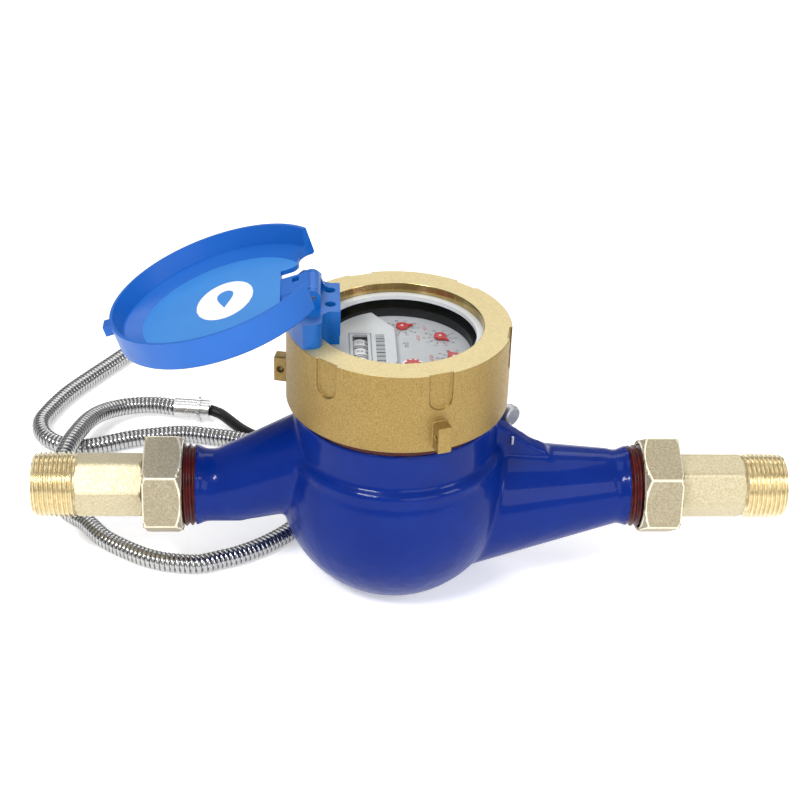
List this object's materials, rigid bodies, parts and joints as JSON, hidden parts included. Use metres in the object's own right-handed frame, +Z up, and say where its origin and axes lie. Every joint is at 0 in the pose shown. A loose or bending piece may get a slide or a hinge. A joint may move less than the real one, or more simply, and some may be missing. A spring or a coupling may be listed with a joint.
{
  "type": "water meter",
  "caption": "Threaded in-line water meter with a round brass-capped dial, a hinged lid, union tail pieces and a remote reading lead in armoured conduit.",
  "frame": {"origin": "centre of the flat foot under the bowl", "axes": "+X along the pipe towards the inlet, +Y away from the viewer, +Z up through the dial"},
  "size_m": [0.316, 0.267, 0.1405],
  "materials": {
    "body_paint": "gloss blue enamel on a casting",
    "ring_brass": "sand-cast brass, speckled",
    "nut_brass": "matt pickled brass",
    "tail_brass": "machined brass",
    "lid_plastic": "semi-gloss moulding",
    "bracket_plastic": "semi-gloss moulding",
    "window_glass": "clear",
    "white_nylon": "satin",
    "black_rubber": "matt",
    "dark_plastic": "satin",
    "dial_face": "printed, satin",
    "label_face": "printed, satin",
    "pointer_red": "gloss",
    "drum_white": "satin",
    "circuit_board": "satin",
    "magnet_grey": "matt",
    "housing_copper": "drawn copper",
    "pin_steel": "bright",
    "seal_lead": "dull",
    "conduit_metal": "bright stainless strip, wound into a hollow tube"
  },
  "bodies": {
    "meter": {"body": "body_paint", "cap_ring": "ring_brass", "slip_washer": "white_nylon", "glass": "window_glass", "glass_gasket": "black_rubber", "register_bezel": "dark_plastic", "register_housing": "housing_copper", "dial_plate": "dial_face", "label_plate": "label_face", "reader_board": "circuit_board", "movement_plate": "white_nylon", "drum_shaft": "pin_steel", "pressure_plate": "pin_steel", "pressure_o_ring": "black_rubber", "chamber_cover": "white_nylon", "chamber_cup": "white_nylon", "strainer": "white_nylon", "pivot_pin": "pin_steel", "inlet_washer": "black_rubber", "outlet_washer": "black_rubber", "inlet_nut": "nut_brass", "outlet_nut": "nut_brass", "inlet_tail": "tail_brass", "outlet_tail": "tail_brass", "hinge_bracket": "bracket_plastic", "lid_pin": "pin_steel", "seal_wire": "pin_steel", "seal_bead": "seal_lead", "cable_gland": "ring_brass", "signal_cable": "black_rubber", "cable_ferrule": "conduit_metal", "conduit": "conduit_metal", "end_ferrule": "conduit_metal", "end_cable": "black_rubber", "lead_wires": "pointer_red"},
    "lid": {"lid": "lid_plastic"},
    "rotor": {"impeller": "white_nylon", "drive_magnet": "magnet_grey"},
    "follower": {"follower_magnet": "magnet_grey"},
    "star": {"flow_star": "pointer_red"},
    "dial_hand_1": {"pointer_1": "pointer_red", "gear_wheel_1": "white_nylon"},
    "dial_hand_2": {"pointer_2": "pointer_red", "gear_wheel_2": "white_nylon"},
    "dial_hand_3": {"pointer_3": "pointer_red", "gear_wheel_3": "white_nylon"},
    "dial_hand_4": {"pointer_4": "pointer_red", "gear_wheel_4": "white_nylon"},
    "drum_1": {"number_drum_1": "drum_white"},
    "drum_2": {"number_drum_2": "drum_white"},
    "drum_3": {"number_drum_3": "drum_white"},
    "drum_4": {"number_drum_4": "drum_white"}
  },
  "joints": [
    {"name": "lid_hinge", "type": "hinge", "parent": "meter", "child": "lid", "pos_m": [-0.033, 0, 0.127], "axis": [0, 1, 0], "range_deg": [0, 199]},
    {"name": "rotor_spin", "type": "hinge", "parent": "meter", "child": "rotor", "pos_m": [0, 0, 0.04], "axis": [0, 0, 1], "continuous": true},
    {"name": "follower_spin", "type": "hinge", "parent": "meter", "child": "follower", "pos_m": [0, 0, 0.086], "axis": [0, 0, 1], "continuous": true},
    {"name": "star_spin", "type": "hinge", "parent": "meter", "child": "star", "pos_m": [0.00504, -0.0112, 0.1], "axis": [0, 0, 1], "continuous": true},
    {"name": "hand_1_spin", "type": "hinge", "parent": "meter", "child": "dial_hand_1", "pos_m": [0.0022, 0.01809, 0.1], "axis": [0, 0, 1], "continuous": true},
    {"name": "hand_2_spin", "type": "hinge", "parent": "meter", "child": "dial_hand_2", "pos_m": [0.01655, 0.01013, 0.1], "axis": [0, 0, 1], "continuous": true},
    {"name": "hand_3_spin", "type": "hinge", "parent": "meter", "child": "dial_hand_3", "pos_m": [0.0208, -0.00572, 0.1], "axis": [0, 0, 1], "continuous": true},
    {"name": "hand_4_spin", "type": "hinge", "parent": "meter", "child": "dial_hand_4", "pos_m": [0.01234, -0.01979, 0.1], "axis": [0, 0, 1], "continuous": true},
    {"name": "drum_1_spin", "type": "hinge", "parent": "meter", "child": "drum_1", "pos_m": [-0.01456, 0.00448, 0.0963], "axis": [0, 1, 0], "continuous": true},
    {"name": "drum_2_spin", "type": "hinge", "parent": "meter", "child": "drum_2", "pos_m": [-0.01456, -0.00252, 0.0963], "axis": [0, 1, 0], "continuous": true},
    {"name": "drum_3_spin", "type": "hinge", "parent": "meter", "child": "drum_3", "pos_m": [-0.01456, -0.00952, 0.0963], "axis": [0, 1, 0], "continuous": true},
    {"name": "drum_4_spin", "type": "hinge", "parent": "meter", "child": "drum_4", "pos_m": [-0.01456, -0.01652, 0.0963], "axis": [0, 1, 0], "continuous": true}
  ],
  "couplings": [
    {"joint": "follower_spin", "follows": "rotor_spin", "ratio": 1},
    {"joint": "star_spin", "follows": "rotor_spin", "ratio": -0.5},
    {"joint": "hand_4_spin", "follows": "rotor_spin", "ratio": -0.1},
    {"joint": "hand_3_spin", "follows": "rotor_spin", "ratio": -0.01},
    {"joint": "hand_2_spin", "follows": "rotor_spin", "ratio": -0.001},
    {"joint": "hand_1_spin", "follows": "rotor_spin", "ratio": -0.0001}
  ]
}
